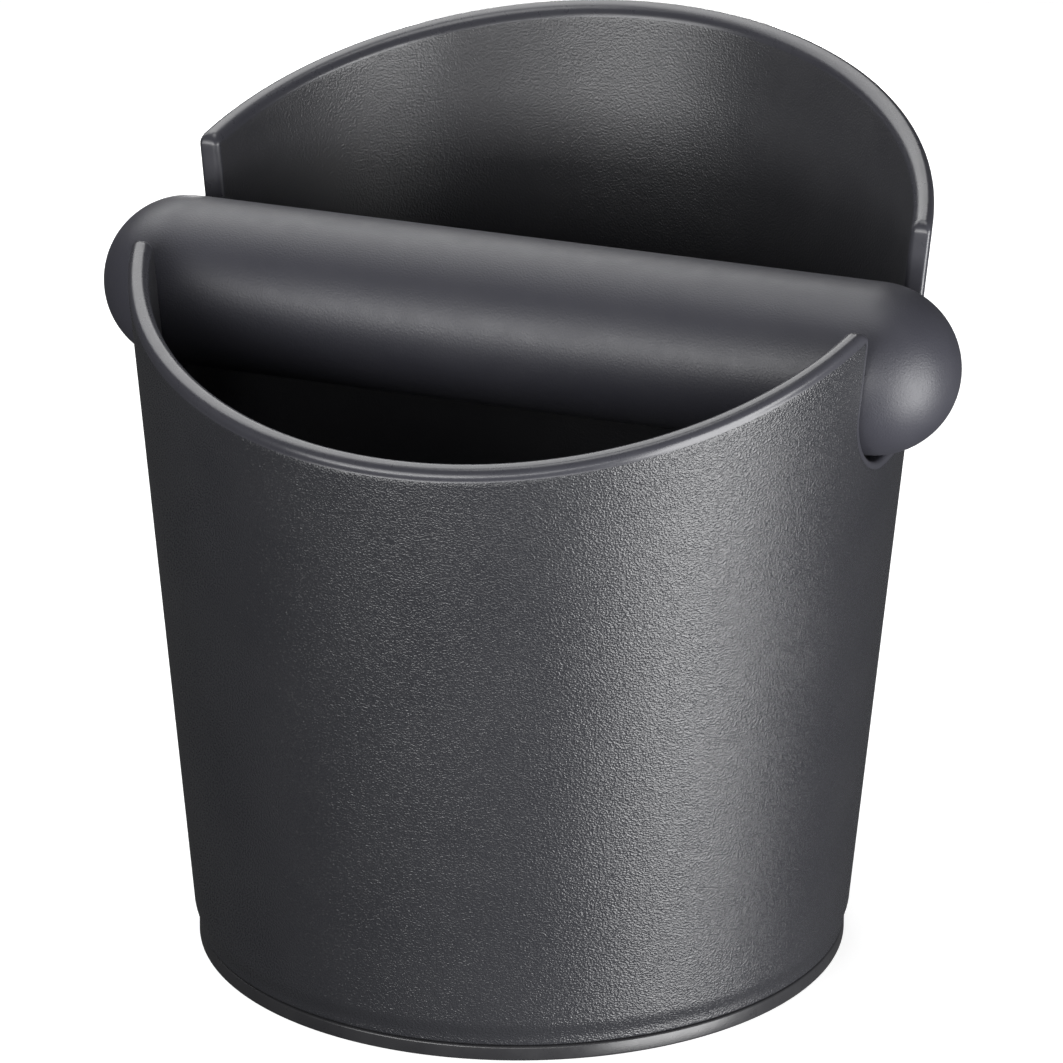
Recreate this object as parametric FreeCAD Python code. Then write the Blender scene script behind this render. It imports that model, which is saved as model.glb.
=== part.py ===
"""Espresso knock box: a slanted-rim bin, a lift-out knock bar and a rubber foot ring.

Frame: millimetres, +Z up, Z = 0 on the surface the box stands on, on the axis of the bin.
+X runs along the knock bar and -Y is the low front of the rim.
"""
import FreeCAD, Part
import math
import os

V = FreeCAD.Vector

# ---- bin ------------------------------------------------------------------
BASE_RADIUS = 63.5         # half width of the tapered wall, extended down to Z = 0
TAPER = 0.0925             # growth of that half width per millimetre of height
OVAL = 1.039               # depth of the plan over its width
WALL = 4.0                 # wall thickness, measured level
FLOOR_TOP = 7.0            # height of the inside floor
FLOOR_FILLET = 9.0         # rounding between the inside floor and the wall
RIM_MID = 144.4            # height of the slanted rim plane on the axis
RIM_SLOPE = 15.25          # degrees, rising to the back
RIM_ROUND = 1.5            # rounding of the rim, inside and out
CORNER_ROUND = 2.5         # rounding of the four rim corners at the bar slots
SLOT_ROUND = 0.9           # rounding of the slot edges
HEEL_HEIGHT = 7.5          # where the taper turns in towards the base
HEEL_START = 4.2           # top of the short upright band under that turn

# ---- foot ring ------------------------------------------------------------
FOOT_RADIUS = 63.3         # half width of the ring and of the base band above it
FOOT_INNER = 54.0
FOOT_HEIGHT = 3.0
SHADOW_GAP = 0.3           # groove left between the ring and the bin
SHADOW_DEPTH = 1.6
TONGUE_INNER = 57.0        # rib of the ring that presses into the bin's underside
TONGUE_OUTER = 59.4
TONGUE_HEIGHT = 2.2
TONGUE_GAP = 0.05

# ---- knock bar ------------------------------------------------------------
BAR_RADIUS = 16.5
BAR_HALF = 86.7            # half length over the domed ends
BAR_HEIGHT = 125.6         # axis of the bar when it sits in its slots
CORE_RADIUS = 8.0
CORE_HALF = 74.0
CORE_CHAMFER = 1.0
GRIP_GROOVES = (-60.0, -30.0, 0.0, 30.0, 60.0)
GROOVE_WIDTH = 3.0
GROOVE_DEPTH = 1.0

# ---- bar slots ------------------------------------------------------------
SLOT_PLAY = 0.05           # room under and in front of the bar
BACK_PLAY = 1.0            # room behind the bar, so that it lifts out freely
SLOT_FRONT = BAR_RADIUS + SLOT_PLAY
SLOT_BACK = BAR_RADIUS + BACK_PLAY
SLOT_FLOOR = BAR_HEIGHT - BAR_RADIUS - SLOT_PLAY
SLOT_CORNER = 13.4         # rounding of the bottom corners of the U

STOCK_TOP = 185.0          # height of the blank before the rim is cut
REACH = 120.0              # half size of cutting blocks, clear of everything


def half_width(z):
    """Half width of the outside wall at height z."""
    return BASE_RADIUS + TAPER * z


def turned(edges):
    """Solid of revolution about Z of a half section drawn in the Y-Z plane."""
    return Part.Face(Part.Wire(edges)).revolve(V(0, 0, 0), V(0, 0, 1), 360)


def oval(shape):
    """Stretch a round shape front to back into the oval plan."""
    stretch = FreeCAD.Matrix()
    stretch.scale(V(1, OVAL, 1))
    return shape.transformGeometry(stretch)


def oval_slab(radius, low, high):
    """Upright oval slab of a given half width, between two heights."""
    outline = Part.Ellipse(V(0, OVAL * radius, low), V(radius, 0, low), V(0, 0, low))
    return Part.Face(Part.Wire(outline.toShape())).extrude(V(0, 0, high - low))


def oval_band(inner, outer, low, high):
    """Oval slab with an oval hole."""
    return oval_slab(outer, low, high).cut(oval_slab(inner, low, high))


def tapered_blank():
    """Outside of the bin above its base band: turned-in heel and tapered wall."""
    low = V(0, FOOT_RADIUS, HEEL_START)
    heel = V(0, half_width(HEEL_HEIGHT), HEEL_HEIGHT)
    middle = V(0, FOOT_RADIUS + 0.25 * (heel.y - FOOT_RADIUS), (HEEL_START + HEEL_HEIGHT) / 2)
    top = V(0, half_width(STOCK_TOP), STOCK_TOP)
    return turned([
        Part.makeLine(V(0, 0, HEEL_START), low),
        Part.Arc(low, middle, heel).toShape(),
        Part.makeLine(heel, top),
        Part.makeLine(top, V(0, 0, STOCK_TOP)),
        Part.makeLine(V(0, 0, STOCK_TOP), V(0, 0, HEEL_START)),
    ])


def cavity():
    """Inside of the bin, with a rounded corner all round the floor."""
    low = V(0, half_width(FLOOR_TOP) - WALL, FLOOR_TOP)
    top = V(0, half_width(STOCK_TOP) - WALL, STOCK_TOP)
    block = turned([
        Part.makeLine(V(0, 0, FLOOR_TOP), low),
        Part.makeLine(low, top),
        Part.makeLine(top, V(0, 0, STOCK_TOP)),
        Part.makeLine(V(0, 0, STOCK_TOP), V(0, 0, FLOOR_TOP)),
    ])
    corner = [e for e in block.Edges if e.BoundBox.ZMax < FLOOR_TOP + 0.01 and e.Closed]
    return block.makeFillet(FLOOR_FILLET, corner)


def underside():
    """Base of the bin: upright band, shadow step above the ring and groove for its tongue."""
    step = FOOT_HEIGHT + SHADOW_GAP
    band = oval_slab(FOOT_RADIUS, step, HEEL_START)
    seat = oval_slab(FOOT_RADIUS - SHADOW_DEPTH, FOOT_HEIGHT, step)
    return band.fuse(seat)


def tongue_groove():
    """Groove that the foot ring's tongue presses into."""
    return oval_band(TONGUE_INNER - TONGUE_GAP, TONGUE_OUTER + TONGUE_GAP,
                     FOOT_HEIGHT, FOOT_HEIGHT + TONGUE_HEIGHT + TONGUE_GAP)


def above_rim():
    """Block that removes everything above the slanted rim plane."""
    block = Part.makeBox(2 * REACH, 2 * REACH, REACH, V(-REACH, -REACH, 0))
    block.rotate(V(0, 0, 0), V(1, 0, 0), RIM_SLOPE)
    block.translate(V(0, 0, RIM_MID))
    return block


def slot_cutter():
    """U-shaped prism that opens both bar slots, up past the rim."""
    size = (2 * REACH, SLOT_FRONT + SLOT_BACK, STOCK_TOP - SLOT_FLOOR)
    prism = Part.makeBox(*size, V(-REACH, -SLOT_FRONT, SLOT_FLOOR))
    bottom = [e for e in prism.Edges if e.BoundBox.ZMax < SLOT_FLOOR + 0.01
              and e.BoundBox.XLength > REACH]
    return prism.makeFillet(SLOT_CORNER, bottom)


def above_rim_plane(point):
    """Height of a point over the slanted rim plane."""
    return point.z - RIM_MID - point.y * math.tan(math.radians(RIM_SLOPE))


def through_wall(edge):
    """True for a straight edge that runs through the wall, along X."""
    box = edge.BoundBox
    return box.XLength > 0.9 * WALL and box.YLength < 0.01 and box.ZLength < 0.01


def rim_corners(shape):
    """The four edges where the slot sides meet the rim plane."""
    return [edge for edge in shape.Edges
            if through_wall(edge) and abs(above_rim_plane(edge.CenterOfMass)) < 0.01]


def rounding(edge):
    """Radii at the two ends of an edge of the rim or of a slot."""
    ends = [edge.valueAt(edge.FirstParameter), edge.valueAt(edge.LastParameter)]
    return [RIM_ROUND if above_rim_plane(p) > -0.01 else SLOT_ROUND for p in ends]


def round_openings(shape):
    """Round the rim and both slots in one pass, blending one radius into the other."""
    document = FreeCAD.newDocument("rounding")
    base = document.addObject("Part::Feature", "base")
    base.Shape = shape
    rounded = document.addObject("Part::Fillet", "rounded")
    rounded.Base = base
    rounded.Edges = [(number, *rounding(edge)) for number, edge in enumerate(shape.Edges, 1)
                     if edge.CenterOfMass.z > SLOT_FLOOR - 0.5 and not through_wall(edge)]
    document.recompute()
    result = rounded.Shape.copy()
    FreeCAD.closeDocument(document.Name)
    return result


def make_bin():
    """The moulded bin: tapered oval shell, slanted rim and two bar slots."""
    shell = oval(tapered_blank()).fuse(underside()).cut(tongue_groove())
    shell = shell.cut(oval(cavity())).cut(above_rim()).cut(slot_cutter())
    shell = shell.makeFillet(CORNER_ROUND, rim_corners(shell))
    return round_openings(shell)


def make_foot_ring():
    """Non-slip ring with the tongue that holds it in the bin's underside."""
    ring = oval_band(FOOT_INNER, FOOT_RADIUS, 0, FOOT_HEIGHT)
    tongue = oval_band(TONGUE_INNER, TONGUE_OUTER, FOOT_HEIGHT, FOOT_HEIGHT + TONGUE_HEIGHT)
    return ring.fuse(tongue).removeSplitter()


def rubber_bar():
    """Outside of the bar: a straight barrel with a dome at each end."""
    centre = BAR_HALF - BAR_RADIUS
    barrel = Part.makeCylinder(BAR_RADIUS, 2 * centre, V(-centre, 0, BAR_HEIGHT), V(1, 0, 0))
    for side in (-1, 1):
        outward = V(side, 0, 0)
        dome = Part.makeSphere(BAR_RADIUS, V(side * centre, 0, BAR_HEIGHT), outward, 0, 90, 360)
        barrel = barrel.fuse(dome)
    return barrel.removeSplitter()


def make_bar_core():
    """Steel rod inside the bar, grooved so that the rubber can't creep along it."""
    rod = Part.makeCylinder(CORE_RADIUS, 2 * CORE_HALF, V(-CORE_HALF, 0, BAR_HEIGHT), V(1, 0, 0))
    ends = [e for e in rod.Edges if e.Closed]
    rod = rod.makeChamfer(CORE_CHAMFER, ends)
    for place in GRIP_GROOVES:
        start = V(place - GROOVE_WIDTH / 2, 0, BAR_HEIGHT)
        band = Part.makeCylinder(CORE_RADIUS + 1, GROOVE_WIDTH, start, V(1, 0, 0))
        neck = Part.makeCylinder(CORE_RADIUS - GROOVE_DEPTH, GROOVE_WIDTH, start, V(1, 0, 0))
        rod = rod.cut(band.cut(neck))
    return rod


def make_bar_sleeve(core):
    """Rubber moulded over the rod, closed by a dome at each end."""
    return rubber_bar().cut(core)


def save(name, shape):
    """Write one node and report its size."""
    solid = shape.Solids[0]
    box = solid.BoundBox
    print(f"{name}: {len(shape.Solids)} solid, valid {solid.isValid()}, "
          f"{solid.Volume / 1000:.1f} cm3, {box.XLength:.1f} x {box.YLength:.1f} x {box.ZLength:.1f}")
    solid.exportStep(f"parts/{name}.step")


os.makedirs("parts", exist_ok=True)
bar_core = make_bar_core()
save("bin", make_bin())
save("foot_ring", make_foot_ring())
save("bar_core", bar_core)
save("bar_sleeve", make_bar_sleeve(bar_core))
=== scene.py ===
"""Espresso knock box: the looks, built in the frame of the solid model.

The bin, the foot ring and the rubber of the bar are rebuilt here in the shape and size of their
solids, with the fine detail of their surfaces. The steel core keeps its solid. Lengths are in
millimetres, apart from those of the floor and the lights, which are in metres.
"""
import math

import bpy
import numpy as np
from mathutils import Matrix, Vector


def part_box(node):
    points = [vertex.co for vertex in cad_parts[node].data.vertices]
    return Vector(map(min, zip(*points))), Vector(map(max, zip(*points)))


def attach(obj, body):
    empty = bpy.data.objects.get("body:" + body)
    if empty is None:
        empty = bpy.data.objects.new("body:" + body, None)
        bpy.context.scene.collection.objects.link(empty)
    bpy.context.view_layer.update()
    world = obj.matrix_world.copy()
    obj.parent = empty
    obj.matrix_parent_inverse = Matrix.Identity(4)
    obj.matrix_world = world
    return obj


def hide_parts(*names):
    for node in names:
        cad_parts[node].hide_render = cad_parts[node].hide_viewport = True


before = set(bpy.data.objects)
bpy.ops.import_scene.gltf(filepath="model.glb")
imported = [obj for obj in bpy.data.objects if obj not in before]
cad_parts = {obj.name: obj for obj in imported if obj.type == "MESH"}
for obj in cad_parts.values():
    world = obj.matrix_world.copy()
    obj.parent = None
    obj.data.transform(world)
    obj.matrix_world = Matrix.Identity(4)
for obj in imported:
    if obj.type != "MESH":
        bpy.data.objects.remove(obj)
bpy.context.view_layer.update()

MM = 0.001


def corners(node):
    """Lowest and highest corners of a solid, in millimetres."""
    low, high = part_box(node)
    return np.array(low) / MM, np.array(high) / MM


# ---- sizes read from the frame --------------------------------------------------------------
RING_HIGH = corners("foot_ring")[1]
BAR_LOW, BAR_HIGH = corners("bar_sleeve")
FOOT_RADIUS = RING_HIGH[0]
OVAL = RING_HIGH[1] / RING_HIGH[0]     # depth of the plan over its width
BAR_HALF = BAR_HIGH[0]
BAR_RADIUS = (BAR_HIGH[2] - BAR_LOW[2]) / 2
BAR_HEIGHT = (BAR_HIGH[2] + BAR_LOW[2]) / 2
FOOT_HEIGHT = corners("bin")[0][2]

# ---- sizes of the design that the boxes don't give ------------------------------------------
BASE_RADIUS = 63.5         # half width of the tapered wall, extended down to Z = 0
TAPER = 0.0925             # growth of that half width per millimetre of height
WALL = 4.0
FLOOR_TOP = 7.0
FLOOR_FILLET = 9.0
RIM_MID = 144.4            # height of the slanted rim plane on the axis
RIM_SLOPE = math.radians(15.25)
RIM_ROUND = 1.5
SLOT_ROUND = 0.9
CORNER_ROUND = 2.5         # rounding of the four rim corners at the slots
SLOT_PLAY = 0.05           # room under and in front of the bar
BACK_PLAY = 1.0            # room behind the bar
SLOT_FRONT = BAR_RADIUS + SLOT_PLAY
SLOT_BACK = BAR_RADIUS + BACK_PLAY
SLOT_FLOOR = BAR_HEIGHT - SLOT_FRONT
SLOT_CORNER = 13.4         # rounding of the bottom corners of a slot
HEEL_HEIGHT = 8.5          # where the taper turns in towards the base
HEEL_START = 4.2           # top of the upright band under that turn
SHADOW_GAP = 0.3           # groove between the band and the foot ring
SHADOW_DEPTH = 1.6
FOOT_INNER = 54.0
TONGUE_INNER = 57.0        # rib of the foot ring that presses into the bin
TONGUE_OUTER = 59.4
TONGUE_HEIGHT = 2.2
TONGUE_GAP = 0.05

# ---- fine detail -----------------------------------------------------------------------------
SMOOTH_BAND = 0.50         # plain strip left under the rim's rounding
GRAIN_STEP = 0.06          # how far the grained wall stands proud of that strip
GRAIN_BEVEL = 0.10         # height of the small step between the two
INNER_SOFTENING = 1.25     # rounding of the inside edges over the outside ones
FOOT_EDGE = 0.45           # rounding of the foot ring's outer edges
BAND_EDGE = ((0.0, 0.3), (0.06, 0.1), (0.25, 0.0))   # the band's lower edge: how far in and up

# ---- mesh density ----------------------------------------------------------------------------
RIM_STEPS = 120            # along half of the front rim, and half of the back rim
CORNER_STEPS = 14          # round a rim corner
FRONT_STEPS = 14           # down the front side of a slot
BACK_STEPS = 22            # up its back side
SEAT_CORNER_STEPS = 22
SEAT_FLOOR_STEPS = 3
ROUND_STEPS = 8            # across a rounded edge of the bin
RIM_ROWS = (0.33, 0.67)    # places of the rows across the flat of the rim
WALL_STEPS = 48
ROW_CROWDING = 1.25        # above 1, the rows of a wall crowd towards the rim
HEEL_STEPS = 8
FILLET_STEPS = 12
UNDERSIDE_ROWS = (30.0, 8.0)
FLOOR_ROWS = (40.0, 20.0, 6.0)
RING_AROUND = 360
RING_EDGE_STEPS = 5
BAR_AROUND = 144
BARREL_STEPS = 24
DOME_STEPS = 35
DOME_END = 1.5             # degrees between a dome's last row and its tip

# ---- camera ----------------------------------------------------------------------------------
CAMERA_AZIMUTH = 20.017    # degrees round from the front, towards +X
CAMERA_ELEVATION = 21.011
CAMERA_ROLL = 0.454
CAMERA_DISTANCE = 1562.4
AIM_HEIGHT = 80.0          # height on the axis that the camera aims at
AIM_RIGHT = 1.272          # how far that aim is moved to the camera's right
AIM_UP = 2.557             # and up
SENSOR_WIDTH = 36.0
FOCAL_OVER_WIDTH = 7.5731
VIEW_DEPTH = 50.0          # metres

# ---- floor and light, in metres --------------------------------------------------------------
FLOOR_HALF = 4.0
FLOOR_STEPS = 16
FLOOR_GLOW = 0.75          # brightness that the floor has by itself
WORLD_LIGHT = 0.05
LIGHT_DISTANCE = 0.6
LIGHT_AIM = Vector((0, 0, 0.09))

NOISE_LOW, NOISE_HIGH = 0.3, 0.7       # nearly all values of a noise lie between these


# ---- curves ----------------------------------------------------------------------------------
def unit(vectors):
    """Vectors scaled to length one."""
    return vectors / np.linalg.norm(vectors, axis=-1, keepdims=True)


def arc(centre, radius, start, end, steps):
    """Points of a circular arc between two angles in degrees, both ends included."""
    turn = np.radians(np.linspace(start, end, steps + 1))
    return np.stack([centre[0] + radius * np.cos(turn), centre[1] + radius * np.sin(turn)], -1)


def straight(start, end, steps):
    """Points along a straight line, both ends left out."""
    share = np.linspace(0, 1, steps + 1)[1:-1, None]
    return (1 - share) * np.array(start) + share * np.array(end)


def half_width(z):
    """Half width of the outside wall at height z."""
    return BASE_RADIUS + TAPER * z


def oval_point(angle, radius, z):
    """Point of the oval plan of a given half width, at an angle of the round plan."""
    return np.stack([radius * np.cos(angle), OVAL * radius * np.sin(angle), z], -1)


def plan_angle(point):
    """Angle of a point in the round plan."""
    return np.arctan2(point[..., 1] / OVAL, point[..., 0])


def wall_point(angle, z, inset):
    """Point of a wall, inset from the outside."""
    return oval_point(angle, half_width(z) - inset, z)


def wall_normal(point, inset):
    """Unit outward normal of that wall."""
    radius = half_width(point[..., 2]) - inset
    return unit(np.stack([point[..., 0], point[..., 1] / OVAL ** 2, -TAPER * radius], -1))


def to_wall(point, inset):
    """Place of a wall at the height and the plan angle of a point."""
    return wall_point(plan_angle(point), point[..., 2], inset)


def from_side(y, z, inset):
    """Point of the right-hand wall with a given depth and height."""
    return wall_point(np.arcsin(y / (OVAL * (half_width(z) - inset))), z, inset)


def rim_height(angle, inset):
    """Height at which the slanted rim plane meets a wall."""
    slope = math.tan(RIM_SLOPE) * OVAL * np.sin(angle)
    return (RIM_MID + slope * (BASE_RADIUS - inset)) / (1 - slope * TAPER)


# ---- the opening of the bin ------------------------------------------------------------------
def slot_outline():
    """Side view of a slot, from the front rim down, across the seat and up to the back rim.

    Returns the points and how far each has left the rim: 0 on the rim, 1 in the slot."""
    slope = math.degrees(RIM_SLOPE)
    rise = math.tan(RIM_SLOPE)
    drop = CORNER_ROUND / math.cos(RIM_SLOPE)
    front_y = -SLOT_FRONT - CORNER_ROUND
    back_y = SLOT_BACK + CORNER_ROUND
    front_centre = (front_y, RIM_MID + front_y * rise - drop)
    back_centre = (back_y, RIM_MID + back_y * rise - drop)
    seat_z = SLOT_FLOOR + SLOT_CORNER
    front = arc(front_centre, CORNER_ROUND, 90 + slope, 0, CORNER_STEPS)
    back = arc(back_centre, CORNER_ROUND, 180, 90 + slope, CORNER_STEPS)
    seat_front = arc((SLOT_CORNER - SLOT_FRONT, seat_z), SLOT_CORNER, 180, 270, SEAT_CORNER_STEPS)
    seat_back = arc((SLOT_BACK - SLOT_CORNER, seat_z), SLOT_CORNER, 270, 360, SEAT_CORNER_STEPS)
    points = np.concatenate([
        front, straight(front[-1], seat_front[0], FRONT_STEPS),
        seat_front, straight(seat_front[-1], seat_back[0], SEAT_FLOOR_STEPS),
        seat_back, straight(seat_back[-1], back[0], BACK_STEPS), back])
    leaving = np.linspace(0, 1, CORNER_STEPS + 1)
    left = np.ones(len(points))
    left[:CORNER_STEPS + 1] = leaving
    left[-CORNER_STEPS - 1:] = leaving[::-1]
    return points, left


def opening_edge(inset):
    """Sharp edge where a wall meets the rim and the slots, as one closed loop of points.

    Returns the points and how far each has left the rim."""
    side, left = slot_outline()
    slot = from_side(side[:, 0], side[:, 1], inset)
    front = np.linspace(-math.pi / 2, plan_angle(slot[0]), RIM_STEPS + 1)[:-1]
    back = np.linspace(plan_angle(slot[-1]), math.pi / 2, RIM_STEPS + 1)[1:]
    right = np.concatenate([wall_point(front, rim_height(front, inset), inset), slot,
                            wall_point(back, rim_height(back, inset), inset)])
    left = np.concatenate([np.zeros(RIM_STEPS), left, np.zeros(RIM_STEPS)])
    mirrored = right[-2:0:-1] * np.array([-1, 1, 1])
    return np.concatenate([right, mirrored]), np.concatenate([left, left[-2:0:-1]])


def rounded_edge(edge, other, inset, reach):
    """Rows of points round one sharp edge, from its wall to the face between the two walls.

    Also returns, for each point, the direction along the wall, away from the opening."""
    along = unit(np.roll(edge, -1, 0) - np.roll(edge, 1, 0))
    away = unit(np.cross(wall_normal(edge, inset), along))
    away *= np.sign(-away[:, 2].mean())
    across = other - edge
    across = unit(across - np.sum(across * along, -1, keepdims=True) * along)
    wall = to_wall(edge + reach[:, None] * away, inset)
    face = edge + reach[:, None] * across
    # With this pull towards the edge, the rows lie on a circular arc from wall to face.
    cosine = np.sum(unit(wall - edge) * across, -1)
    pull = np.sqrt((1 - cosine) / 2)[:, None]
    rows = []
    for share in np.linspace(0, 1, ROUND_STEPS + 1):
        a, b, c = (1 - share) ** 2, 2 * share * (1 - share) * pull, share ** 2
        rows.append((a * wall + b * edge + c * face) / (a + b + c))
    return rows, away


# ---- walls, underside and floor of the bin ---------------------------------------------------
def base_angles(edge):
    """Angles at the foot of the bin, spread by the length of the opening's edge above them."""
    step = np.linalg.norm(np.roll(edge, -1, 0) - edge, axis=1)
    travelled = np.concatenate([[0], np.cumsum(step)[:-1]]) / step.sum()
    return -math.pi / 2 + 2 * math.pi * travelled


def wall_rows(start, end_angles, end_z, inset):
    """Rows of points down a wall, from an uneven row to a level one, both left out."""
    start_angles = np.unwrap(plan_angle(start))
    rows = []
    for share in np.linspace(0, 1, WALL_STEPS + 1)[1:-1] ** ROW_CROWDING:
        angles = (1 - share) * start_angles + share * end_angles
        rows.append(wall_point(angles, (1 - share) * start[:, 2] + share * end_z, inset))
    return rows


def level_rows(profile, angles):
    """Level rows of points, one for each half width and height of a profile."""
    return [oval_point(angles, radius, np.full(len(angles), z)) for radius, z in profile]


def base_profile():
    """Outside of the bin below the taper: half widths and heights, from the top inwards."""
    heel = half_width(HEEL_HEIGHT)
    share = np.linspace(0, 1, HEEL_STEPS + 1)
    width = FOOT_RADIUS + (heel - FOOT_RADIUS) * (1 - 3 * share ** 2 + 2 * share ** 3)
    height = HEEL_HEIGHT - (HEEL_HEIGHT - HEEL_START) * share
    gap_top = FOOT_HEIGHT + SHADOW_GAP
    gap_inner = FOOT_RADIUS - SHADOW_DEPTH
    groove_top = FOOT_HEIGHT + TONGUE_HEIGHT + TONGUE_GAP
    groove_inner, groove_outer = TONGUE_INNER - TONGUE_GAP, TONGUE_OUTER + TONGUE_GAP
    return [
        *zip(width, height),
        *((FOOT_RADIUS - inwards, gap_top + up) for inwards, up in BAND_EDGE),
        (gap_inner, gap_top), (gap_inner, FOOT_HEIGHT),
        (groove_outer, FOOT_HEIGHT), (groove_outer, groove_top),
        (groove_inner, groove_top), (groove_inner, FOOT_HEIGHT),
        *((radius, FOOT_HEIGHT) for radius in UNDERSIDE_ROWS)]


def floor_profile():
    """Inside of the bin below its wall: half widths and heights, from the top inwards."""
    lean = math.atan(TAPER)
    wall_low = half_width(FLOOR_TOP) - WALL
    tangent = FLOOR_FILLET * math.tan((math.pi / 2 - lean) / 2)
    centre = (wall_low - tangent, FLOOR_TOP + FLOOR_FILLET)
    fillet = arc(centre, FLOOR_FILLET, -math.degrees(lean), -90, FILLET_STEPS)
    return [*fillet, *((radius, FLOOR_TOP) for radius in FLOOR_ROWS)]


# ---- pieces ----------------------------------------------------------------------------------
def strips(rows, joined=False):
    """Faces between closed rows of equal length, row by row.

    The last row is joined to the first, or else a cap closes each end."""
    count = len(rows[0])
    around = [(i, (i + 1) % count) for i in range(count)]
    starts = [k * count for k in range(len(rows))]
    ends = starts[1:] + starts[:1] if joined else starts[1:]
    faces = [(a + i, a + j, b + j, b + i) for a, b in zip(starts, ends) for i, j in around]
    if joined:
        return np.concatenate(rows), faces
    points = np.concatenate([*rows, [rows[0].mean(0)], [rows[-1].mean(0)]])
    first_cap, last_cap = len(points) - 2, len(points) - 1
    faces += [(j, i, first_cap) for i, j in around]
    faces += [(starts[-1] + i, starts[-1] + j, last_cap) for i, j in around]
    return points, faces


def new_piece(name, points, faces, materials, body, node, slots=None):
    """Mesh object that rides on a body and stands for one of its solids.

    slots gives each face its place in the list of materials."""
    mesh = bpy.data.meshes.new(name)
    mesh.from_pydata([tuple(point) for point in points * MM], [], faces)
    for material in materials:
        mesh.materials.append(material)
    if slots:
        mesh.polygons.foreach_set("material_index", slots)
    mesh.polygons.foreach_set("use_smooth", [True] * len(faces))
    mesh.update()
    piece = bpy.data.objects.new(name, mesh)
    bpy.context.scene.collection.objects.link(piece)
    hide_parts(node)
    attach(piece, body)
    return piece


GRAINED, SMOOTH, INSIDE = range(3)


def make_bin(materials):
    """The whole moulded bin as one closed skin, from its underside round to its floor."""
    outer, left = opening_edge(GRAIN_STEP)
    inner = opening_edge(WALL)[0]
    reach = RIM_ROUND + (SLOT_ROUND - RIM_ROUND) * (3 * left ** 2 - 2 * left ** 3)
    outside, away = rounded_edge(outer, inner, GRAIN_STEP, reach)
    inside = rounded_edge(inner, outer, WALL, INNER_SOFTENING * reach)[0]
    band = to_wall(outside[0] + SMOOTH_BAND * away, GRAIN_STEP)
    grain_top = to_wall(outside[0] + (SMOOTH_BAND + GRAIN_BEVEL) * away, 0.0)
    flat = [(1 - share) * outside[-1] + share * inside[-1] for share in RIM_ROWS]
    angles = base_angles(outer)
    floor = floor_profile()
    outer_wall = wall_rows(grain_top, angles, HEEL_HEIGHT, 0.0)
    inner_wall = wall_rows(inside[0], angles, floor[0][1], WALL)
    groups = {
        GRAINED: [*level_rows(base_profile()[::-1], angles), *outer_wall[::-1]],
        SMOOTH: [grain_top, band, *outside, *flat, *inside[:0:-1]],
        INSIDE: [inside[0], *inner_wall, *level_rows(floor, angles)]}
    points, faces = strips([row for rows in groups.values() for row in rows])
    # A strip takes its material from the row that it starts at. The two caps come last.
    strip_slots = [slot for slot, rows in groups.items() for _ in rows][:-1]
    slots = [slot for slot in (*strip_slots, GRAINED, INSIDE) for _ in angles]
    return new_piece("bin_shell", points, faces, materials, "bin", "bin", slots)


def make_foot_ring(rubber):
    """Oval rubber ring with softened edges and the tongue that holds it."""
    angles = np.linspace(0, 2 * math.pi, RING_AROUND, endpoint=False)
    edge_x = FOOT_RADIUS - FOOT_EDGE
    low_edge = arc((edge_x, FOOT_EDGE), FOOT_EDGE, -90, 0, RING_EDGE_STEPS)
    high_edge = arc((edge_x, FOOT_HEIGHT - FOOT_EDGE), FOOT_EDGE, 0, 90, RING_EDGE_STEPS)
    tongue_top = FOOT_HEIGHT + TONGUE_HEIGHT
    profile = [
        (FOOT_INNER, 0.0), *low_edge, *high_edge,
        (TONGUE_OUTER, FOOT_HEIGHT), (TONGUE_OUTER, tongue_top),
        (TONGUE_INNER, tongue_top), (TONGUE_INNER, FOOT_HEIGHT), (FOOT_INNER, FOOT_HEIGHT)]
    points, faces = strips(level_rows(profile, angles), joined=True)
    return new_piece("foot_ring_rubber", points, faces, [rubber], "bin", "foot_ring")


def make_bar(rubber):
    """Rubber knock bar: a straight barrel with a dome at each end."""
    angles = np.linspace(0, 2 * math.pi, BAR_AROUND, endpoint=False)
    dome_x = BAR_HALF - BAR_RADIUS
    dome = arc((dome_x, 0.0), BAR_RADIUS, 90, DOME_END, DOME_STEPS)
    barrel = straight((-dome_x, BAR_RADIUS), (dome_x, BAR_RADIUS), BARREL_STEPS)
    profile = np.concatenate([dome[::-1] * (-1, 1), barrel, dome])
    rows = [np.stack([np.full(BAR_AROUND, x), radius * np.cos(angles),
                      BAR_HEIGHT + radius * np.sin(angles)], -1) for x, radius in profile]
    points, faces = strips(rows)
    points[-2:, 0] = -BAR_HALF, BAR_HALF     # the caps' middles are the tips of the domes
    return new_piece("knock_bar_rubber", points, faces, [rubber], "knock_bar", "bar_sleeve")


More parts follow.
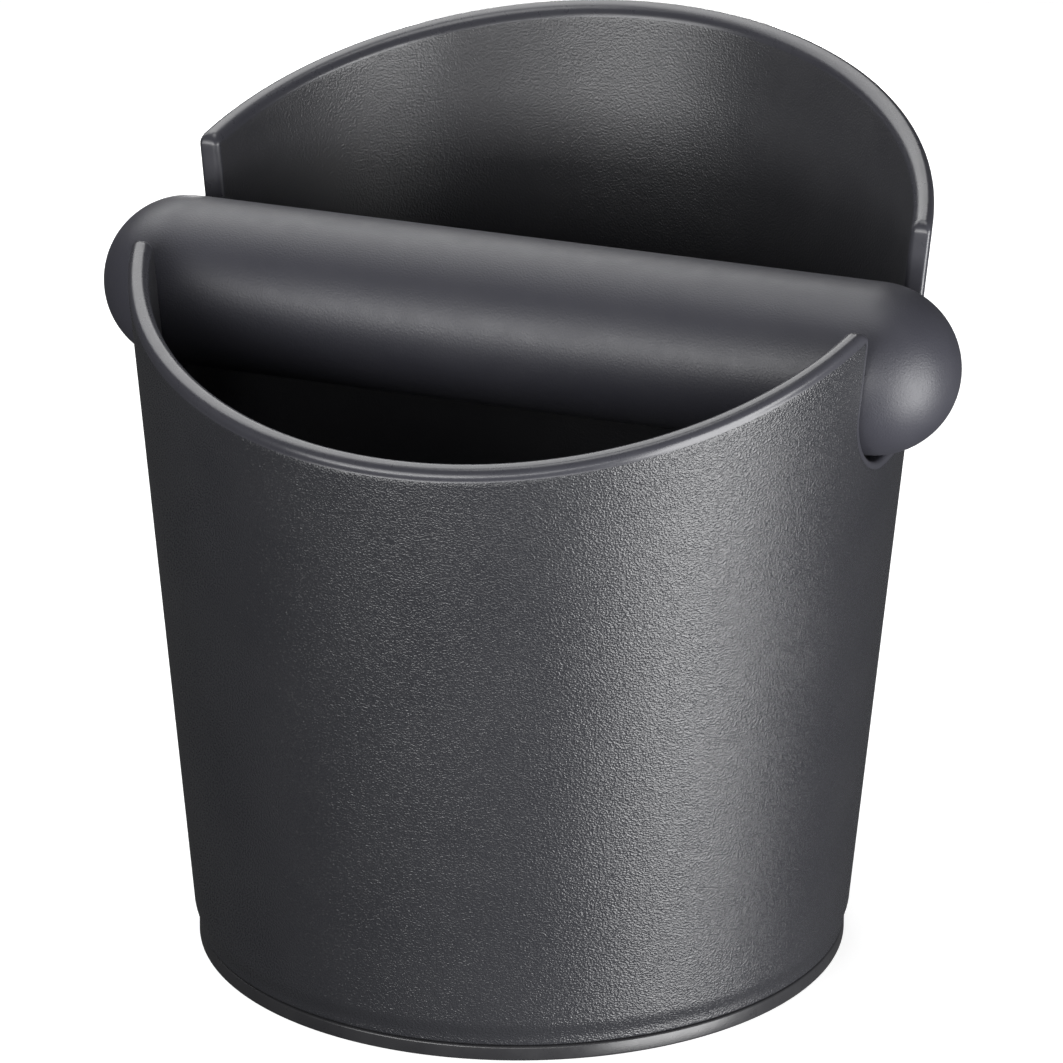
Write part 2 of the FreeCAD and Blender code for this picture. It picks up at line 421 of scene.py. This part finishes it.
# ---- materials -------------------------------------------------------------------------------
class Finish:
    """A node material under construction."""

    def __init__(self, name, roughness, specular=0.5):
        self.material = bpy.data.materials.new(name)
        self.material.use_nodes = True
        self.nodes = self.material.node_tree.nodes
        self.links = self.material.node_tree.links
        self.shader = self.nodes["Principled BSDF"]
        self.shader.inputs["Roughness"].default_value = roughness
        self.shader.inputs["Specular IOR Level"].default_value = specular
        self.place = self.nodes.new("ShaderNodeTexCoord").outputs["Object"]

    def stretched(self, stretch):
        """Object coordinates, scaled along each axis."""
        node = self.nodes.new("ShaderNodeMapping")
        node.inputs["Scale"].default_value = stretch
        self.links.new(self.place, node.inputs["Vector"])
        return node.outputs["Vector"]

    def noise(self, scale, detail, roughness=0.5, stretch=None):
        """Noise in object space; scale is in features per metre."""
        node = self.nodes.new("ShaderNodeTexNoise")
        node.inputs["Scale"].default_value = scale
        node.inputs["Detail"].default_value = detail
        node.inputs["Roughness"].default_value = roughness
        place = self.stretched(stretch) if stretch else self.place
        self.links.new(place, node.inputs["Vector"])
        return node.outputs["Fac"]

    def colour(self, noise, dark, light):
        """Base colour that drifts between two close shades."""
        ramp = self.nodes.new("ShaderNodeValToRGB")
        for stop, place, shade in zip(ramp.color_ramp.elements, (NOISE_LOW, NOISE_HIGH),
                                      (dark, light)):
            stop.position = place
            stop.color = (*shade, 1)
        self.links.new(noise, ramp.inputs["Fac"])
        self.links.new(ramp.outputs["Color"], self.shader.inputs["Base Color"])

    def roughness(self, noise, low, high):
        """Roughness that goes from one value to another as the noise grows."""
        node = self.nodes.new("ShaderNodeMapRange")
        node.inputs["From Min"].default_value = NOISE_LOW
        node.inputs["From Max"].default_value = NOISE_HIGH
        node.inputs["To Min"].default_value = low
        node.inputs["To Max"].default_value = high
        self.links.new(noise, node.inputs["Value"])
        self.links.new(node.outputs["Result"], self.shader.inputs["Roughness"])

    def bump(self, noise, depth):
        """Surface relief; depth is in millimetres."""
        node = self.nodes.new("ShaderNodeBump")
        node.inputs["Distance"].default_value = depth * MM
        self.links.new(noise, node.inputs["Height"])
        self.links.new(node.outputs["Normal"], self.shader.inputs["Normal"])


def grained_plastic():
    """Outside of the bin: charcoal plastic with a fine grain, glossiest on its peaks."""
    finish = Finish("bin_grained_plastic", 0.33)
    grain = finish.noise(3000, 1.0, 0.45, stretch=(0.8, 0.8, 1.1))
    finish.colour(finish.noise(45, 3), (0.022, 0.0225, 0.026), (0.027, 0.0275, 0.031))
    finish.roughness(grain, 0.36, 0.16)
    finish.bump(grain, 0.19)
    return finish.material


def smooth_plastic():
    """Rim and slot edges: the same plastic, left plain."""
    finish = Finish("bin_smooth_plastic", 0.28)
    finish.colour(finish.noise(60, 3), (0.034, 0.0342, 0.0415), (0.039, 0.0392, 0.0465))
    finish.roughness(finish.noise(300, 4), 0.26, 0.31)
    finish.bump(finish.noise(900, 2), 0.004)
    return finish.material


def inside_plastic_painted_lighter():
    """Inside of the bin: the same plastic with a fine, shallow grain, coloured lighter than the
    outside as painted light that lifts its shade.
    """
    finish = Finish("bin_inside_plastic", 0.32)
    # painted light: a lighter shade than the outside plastic, which stands in for light in the
    # shaded inside
    finish.colour(finish.noise(60, 3), (0.033, 0.0332, 0.037), (0.039, 0.0392, 0.043))
    finish.roughness(finish.noise(300, 4), 0.28, 0.34)
    finish.bump(finish.noise(2600, 1.0, 0.45), 0.07)
    return finish.material


def bar_rubber():
    """Knock bar: dense satin rubber with a very fine skin."""
    finish = Finish("knock_bar_rubber", 0.44)
    finish.colour(finish.noise(55, 3), (0.031, 0.0312, 0.040), (0.036, 0.0362, 0.045))
    finish.roughness(finish.noise(240, 4), 0.44, 0.50)
    finish.bump(finish.noise(2600, 2), 0.05)
    return finish.material


def foot_rubber():
    """Foot ring: smooth dark non-slip rubber."""
    finish = Finish("foot_ring_rubber", 0.34)
    finish.colour(finish.noise(90, 3), (0.020, 0.020, 0.022), (0.027, 0.027, 0.029))
    finish.roughness(finish.noise(400, 3), 0.26, 0.33)
    finish.bump(finish.noise(1500, 3, 0.6), 0.01)
    return finish.material


def turned_steel():
    """Core rod: turned steel, with fine rings round its axis."""
    finish = Finish("core_turned_steel", 0.3)
    finish.shader.inputs["Metallic"].default_value = 1.0
    finish.colour(finish.noise(80, 3), (0.50, 0.51, 0.53), (0.58, 0.59, 0.61))
    finish.roughness(finish.noise(900, 3, stretch=(1, 0.05, 0.05)), 0.24, 0.36)
    finish.bump(finish.noise(1400, 2, stretch=(1, 0.03, 0.03)), 0.01)
    return finish.material


def light_table_finish():
    """Floor: matt white acrylic, glowing a little, with a trace of unevenness."""
    finish = Finish("light_table", 0.7, specular=0.0)
    finish.colour(finish.noise(8, 2), (0.58, 0.58, 0.58), (0.60, 0.60, 0.60))
    finish.shader.inputs["Emission Color"].default_value = (1, 1, 1, 1)
    finish.shader.inputs["Emission Strength"].default_value = FLOOR_GLOW
    return finish.material


# ---- floor, light and camera -----------------------------------------------------------------
def direction(azimuth, elevation):
    """Unit vector at angles in degrees. Azimuth 0 is the front and 90 is the +X side."""
    a, e = math.radians(azimuth), math.radians(elevation)
    return Vector((math.sin(a) * math.cos(e), -math.cos(a) * math.cos(e), math.sin(e)))


def make_floor(finish):
    """Pale floor, wide enough to be seen on all sides.

    Light passes through it, and the box is neither lit by it nor mirrors it."""
    line = np.linspace(-FLOOR_HALF, FLOOR_HALF, FLOOR_STEPS + 1)
    points = [(x, y, 0.0) for y in line for x in line]
    row = FLOOR_STEPS + 1
    squares = [j * row + i for j in range(FLOOR_STEPS) for i in range(FLOOR_STEPS)]
    mesh = bpy.data.meshes.new("floor")
    mesh.from_pydata(points, [], [(k, k + 1, k + row + 1, k + row) for k in squares])
    mesh.materials.append(finish)
    floor = bpy.data.objects.new("floor", mesh)
    floor.visible_diffuse = floor.visible_glossy = floor.visible_shadow = False
    bpy.context.scene.collection.objects.link(floor)


def make_light(name, azimuth, elevation, size, power):
    """Soft rectangular light, aimed at the middle of the box."""
    lamp = bpy.data.lights.new(name, "AREA")
    lamp.shape = "RECTANGLE"
    lamp.size, lamp.size_y = size
    lamp.energy = power
    light = bpy.data.objects.new(name, lamp)
    outward = direction(azimuth, elevation)
    light.location = LIGHT_AIM + outward * LIGHT_DISTANCE
    light.rotation_euler = (-outward).to_track_quat("-Z", "Y").to_euler()
    light.visible_camera = False
    bpy.context.scene.collection.objects.link(light)


def make_world():
    """Even surrounding light."""
    world = bpy.data.worlds.new("studio")
    world.use_nodes = True
    background = world.node_tree.nodes["Background"]
    background.inputs["Color"].default_value = (1, 1, 1, 1)
    background.inputs["Strength"].default_value = WORLD_LIGHT
    bpy.context.scene.world = world


def make_camera():
    """Long lens, a little above the box and round to its right."""
    azimuth, roll = math.radians(CAMERA_AZIMUTH), math.radians(CAMERA_ROLL)
    back = direction(CAMERA_AZIMUTH, CAMERA_ELEVATION)
    level = Vector((math.cos(azimuth), math.sin(azimuth), 0))
    upright = back.cross(level)
    right = level * math.cos(roll) + upright * math.sin(roll)
    up = upright * math.cos(roll) - level * math.sin(roll)
    aim = Vector((0, 0, AIM_HEIGHT)) + right * AIM_RIGHT + up * AIM_UP
    lens = bpy.data.cameras.new("camera")
    lens.sensor_width = SENSOR_WIDTH
    lens.lens = FOCAL_OVER_WIDTH * SENSOR_WIDTH
    lens.clip_end = VIEW_DEPTH
    camera = bpy.data.objects.new("camera", lens)
    turn = Matrix((right, up, back)).transposed().to_4x4()
    camera.matrix_world = Matrix.Translation((aim + back * CAMERA_DISTANCE) * MM) @ turn
    bpy.context.scene.collection.objects.link(camera)
    bpy.context.scene.camera = camera


# ---- the scene -------------------------------------------------------------------------------
make_bin([grained_plastic(), smooth_plastic(), inside_plastic_painted_lighter()])
make_foot_ring(foot_rubber())
make_bar(bar_rubber())
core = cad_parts["bar_core"]
core.data.materials.clear()
core.data.materials.append(turned_steel())

make_floor(light_table_finish())
make_world()
# Angles in degrees, width and height in metres, power in watts.
make_light("right_strip", 73, -9, (0.42, 0.50), 7.6)
make_light("front", -16, 14, (0.50, 0.25), 2.1)
make_light("front_low", 4, 6, (0.90, 0.13), 2.2)
make_light("top", 0, 90, (0.25, 0.25), 0.83)
make_light("back_left", -132, 50, (0.60, 0.40), 2.8)
make_light("back_low", -160, -8, (0.18, 0.40), 2.2)
make_camera()
bpy.context.scene.view_settings.view_transform = "Standard"
